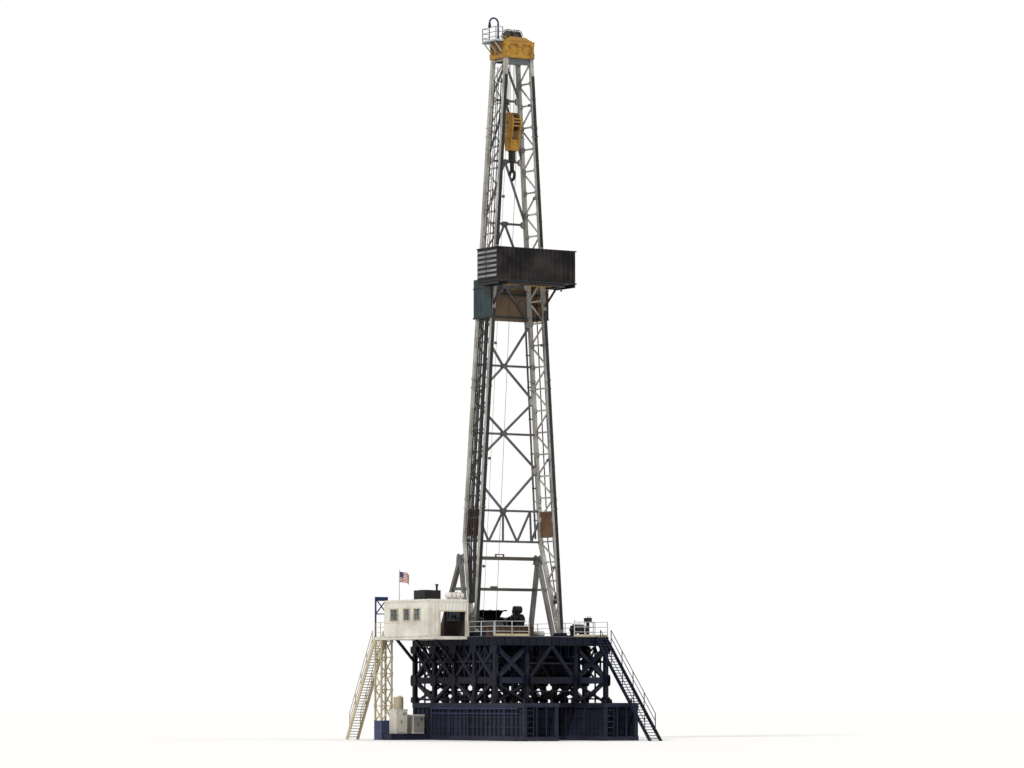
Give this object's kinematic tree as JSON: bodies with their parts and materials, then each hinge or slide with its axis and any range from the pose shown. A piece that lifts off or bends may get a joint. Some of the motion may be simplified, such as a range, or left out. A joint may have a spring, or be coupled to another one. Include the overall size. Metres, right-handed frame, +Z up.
{
  "type": "oil drilling rig, 1:2 scale model",
  "caption": "Land drilling rig at half size: lattice mast with racking board and crown on a box-on-box substructure, with doghouse, drawworks, stairs and a travelling block.",
  "frame": {"origin": "the well centre on the ground, under the middle of the rotary table", "axes": "+Z up, -Y to the front (the open face of the mast), +Y to the drawworks, +X to the right seen from the front"},
  "size_m": [6.755, 11.2554, 27.014],
  "materials": {
    "navy_steel": "dark navy enamel, dusty and chalked",
    "deck_steel": "worn checker plate and grating",
    "skid_brown": "brown enamel with rust",
    "black_steel": "black enamel, greasy",
    "rail_grey": "light grey enamel, chipped",
    "cream_paint": "cream enamel, chipped",
    "cabinet_white": "off-white enamel, dusty",
    "doghouse_white": "off-white enamel on ribbed sheet",
    "window_glass": "dusty window glass",
    "portal_blue": "dark blue enamel",
    "flag_cloth": "woven cloth",
    "mast_white": "weathered white enamel with rust",
    "finger_yellow": "worn yellow enamel",
    "wind_wall_brown": "tan and brown enamel on sheet",
    "wire_rope": "greased wire rope",
    "crown_yellow": "ochre yellow enamel, weathered",
    "sheave_iron": "dark cast steel, greased"
  },
  "bodies": {
    "rig": {"base_box_left": "navy_steel", "base_box_right": "navy_steel", "base_box_ties": "navy_steel", "upper_box_left": "navy_steel", "upper_box_right": "navy_steel", "upper_box_ties": "navy_steel", "spreaders_front": "navy_steel", "spreaders_rear": "navy_steel", "floor_frame": "navy_steel", "drill_floor": "deck_steel", "rotary_table": "deck_steel", "drawworks_skid": "skid_brown", "drawworks_drum": "black_steel", "drawworks_motors": "black_steel", "air_hoist": "black_steel", "guardrail_front": "rail_grey", "guardrail_right": "rail_grey", "guardrail_rear": "rail_grey", "stair_right": "navy_steel", "stair_right_treads": "navy_steel", "stair_left": "cream_paint", "stair_left_treads": "cream_paint", "stair_tower": "cream_paint", "side_skid": "navy_steel", "utility_cabinet": "cabinet_white", "doghouse_platform": "doghouse_white", "doghouse_front_wall": "doghouse_white", "doghouse_rear_wall": "doghouse_white", "doghouse_left_wall": "doghouse_white", "doghouse_right_wall": "doghouse_white", "doghouse_glass": "window_glass", "doghouse_roof": "doghouse_white", "roof_box": "black_steel", "roof_tank": "cabinet_white", "porch_rails": "cream_paint", "stairhead_portal": "portal_blue", "flag_pole": "rail_grey", "flag": "flag_cloth", "mast_feet": "navy_steel", "mast_leg_left": "mast_white", "mast_leg_right": "mast_white", "mast_rear_lower": "mast_white", "mast_rear_upper": "mast_white", "a_frame_legs": "mast_white", "a_frame_beams": "mast_white", "racking_board": "black_steel", "racking_fingers": "finger_yellow", "racking_wind_walls": "black_steel", "mast_wind_walls": "wind_wall_brown", "mast_lines": "wire_rope", "crown_frame": "crown_yellow", "sheave_guards": "crown_yellow", "crown_platform": "deck_steel", "drilling_lines": "wire_rope"},
    "travelling_block": {"travelling_block": "crown_yellow"},
    "hook": {"block_hook": "black_steel"},
    "block_sheaves": {"block_sheaves": "sheave_iron"},
    "crown_sheaves": {"crown_sheaves": "sheave_iron"},
    "davit": {"crown_davit": "portal_blue"}
  },
  "joints": [
    {"name": "block_hoist", "type": "slide", "parent": "rig", "child": "travelling_block", "axis": [0, 0, 1], "range_m": [-16, 1.3], "deforming": ["drilling_lines"]},
    {"name": "hook_swivel", "type": "hinge", "parent": "travelling_block", "child": "hook", "pos_m": [0, 0, 22.01], "axis": [0, 0, 1], "continuous": true},
    {"name": "block_sheave_spin", "type": "hinge", "parent": "travelling_block", "child": "block_sheaves", "pos_m": [0, 0, 23.085], "axis": [1, 0, 0], "continuous": true},
    {"name": "crown_sheave_spin", "type": "hinge", "parent": "rig", "child": "crown_sheaves", "pos_m": [0, 0, 26.25], "axis": [1, 0, 0], "continuous": true},
    {"name": "davit_swing", "type": "hinge", "parent": "rig", "child": "davit", "pos_m": [-0.58, 0.06, 26.22], "axis": [0, 0, 1], "range_deg": [-120, 120]}
  ]
}
